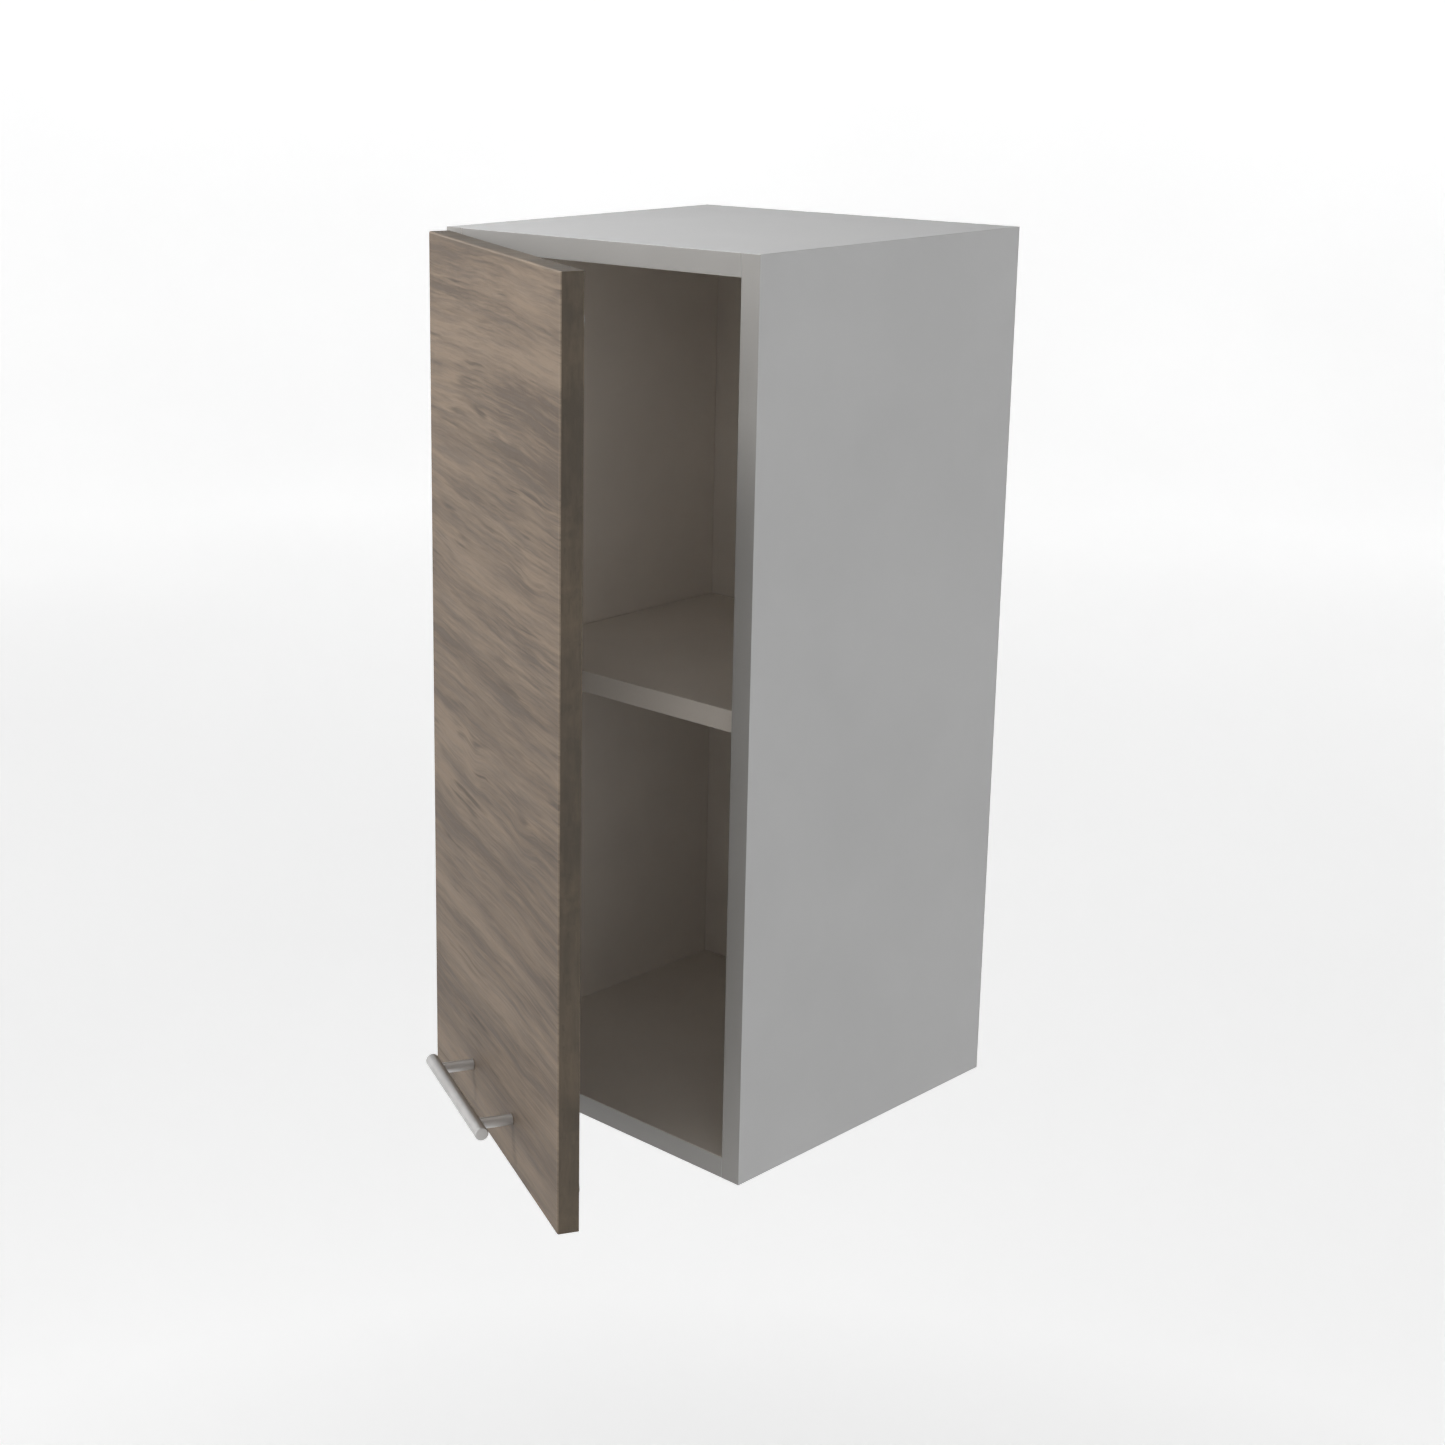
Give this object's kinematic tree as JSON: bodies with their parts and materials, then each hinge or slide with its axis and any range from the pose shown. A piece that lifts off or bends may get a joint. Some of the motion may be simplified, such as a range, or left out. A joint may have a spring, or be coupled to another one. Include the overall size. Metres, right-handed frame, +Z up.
{
  "type": "hanging wall cabinet",
  "caption": "Narrow wall-hung storage cabinet with an open-fronted carcass, a middle shelf and a full-overlay side-hinged door with a bar handle.",
  "frame": {"origin": "centre of the back panel's rear face, which lies on the wall", "axes": "+X to the right as seen from the front, +Y into the wall, +Z up; the door opens towards -Y"},
  "size_m": [0.3019, 0.4292, 0.655],
  "materials": {
    "carcass_board": "light grey melamine-faced chipboard, satin",
    "back_board": "grey painted hardboard, matt",
    "door_decor": "grey-brown oak decor laminate with the grain running across, satin",
    "handle_metal": "satin nickel",
    "hinge_metal": "nickel-plated stamped steel",
    "zinc_steel": "zinc-plated steel",
    "dowel_beech": "raw beech",
    "hanger_plastic": "white moulded plastic",
    "bumper": "translucent soft plastic"
  },
  "bodies": {
    "cabinet": {"back_panel": "back_board", "bottom_panel": "carcass_board", "dowel_bottom_left_front": "dowel_beech", "dowel_bottom_left_rear": "dowel_beech", "dowel_bottom_right_front": "dowel_beech", "dowel_bottom_right_rear": "dowel_beech", "dowel_top_left_front": "dowel_beech", "dowel_top_left_rear": "dowel_beech", "dowel_top_right_front": "dowel_beech", "dowel_top_right_rear": "dowel_beech", "hanger_hook_left": "zinc_steel", "hanger_hook_right": "zinc_steel", "hanger_housing_left": "hanger_plastic", "hanger_housing_right": "hanger_plastic", "hanger_screw_left": "zinc_steel", "hanger_screw_right": "zinc_steel", "hinge_arm_lower": "hinge_metal", "hinge_arm_upper": "hinge_metal", "hinge_clamp_screw_lower": "zinc_steel", "hinge_clamp_screw_upper": "zinc_steel", "hinge_inner_pin_lower": "zinc_steel", "hinge_inner_pin_upper": "zinc_steel", "hinge_outer_pin_lower": "zinc_steel", "hinge_outer_pin_upper": "zinc_steel", "hinge_plate_lower": "hinge_metal", "hinge_plate_screw_lower_high": "zinc_steel", "hinge_plate_screw_lower_low": "zinc_steel", "hinge_plate_screw_upper_high": "zinc_steel", "hinge_plate_screw_upper_low": "zinc_steel", "hinge_plate_upper": "hinge_metal", "hinge_side_adjuster_lower": "zinc_steel", "hinge_side_adjuster_upper": "zinc_steel", "shelf": "carcass_board", "shelf_pin_left_front": "hinge_metal", "shelf_pin_left_rear": "hinge_metal", "shelf_pin_right_front": "hinge_metal", "shelf_pin_right_rear": "hinge_metal", "side_panel_left": "carcass_board", "side_panel_right": "carcass_board", "top_panel": "carcass_board"},
    "inner_links": {"hinge_inner_link_lower": "hinge_metal", "hinge_inner_link_upper": "hinge_metal"},
    "outer_links": {"hinge_outer_link_lower": "hinge_metal", "hinge_outer_link_upper": "hinge_metal"},
    "door": {"door_bumper_bottom": "bumper", "door_bumper_top": "bumper", "door_panel": "door_decor", "handle_bar": "handle_metal", "handle_post_left": "handle_metal", "handle_post_right": "handle_metal", "handle_screw_left": "zinc_steel", "handle_screw_right": "zinc_steel", "hinge_cup_lower": "hinge_metal", "hinge_cup_pin_lower": "zinc_steel", "hinge_cup_pin_upper": "zinc_steel", "hinge_cup_screw_lower_high": "zinc_steel", "hinge_cup_screw_lower_low": "zinc_steel", "hinge_cup_screw_upper_high": "zinc_steel", "hinge_cup_screw_upper_low": "zinc_steel", "hinge_cup_upper": "hinge_metal"}
  },
  "joints": [
    {"name": "inner_link_swing", "type": "hinge", "parent": "cabinet", "child": "inner_links", "pos_m": [-0.123, -0.275, 0], "axis": [0, 0, 1], "range_deg": [-7.4, 21.7]},
    {"name": "door_swing", "type": "hinge", "parent": "inner_links", "child": "door", "pos_m": [-0.13936, -0.28979, 0], "axis": [0, 0, -1], "range_deg": [-33.28, 98.56]},
    {"name": "outer_link_swing", "type": "hinge", "parent": "cabinet", "child": "outer_links", "pos_m": [-0.1214, -0.2673, 0], "axis": [0, 0, 1], "range_deg": [-1.4, 3.8]}
  ],
  "couplings": [
    {"joint": "inner_link_swing", "follows": "door_swing", "ratio": 0.21875},
    {"joint": "outer_link_swing", "follows": "door_swing", "ratio": 0.0375}
  ]
}
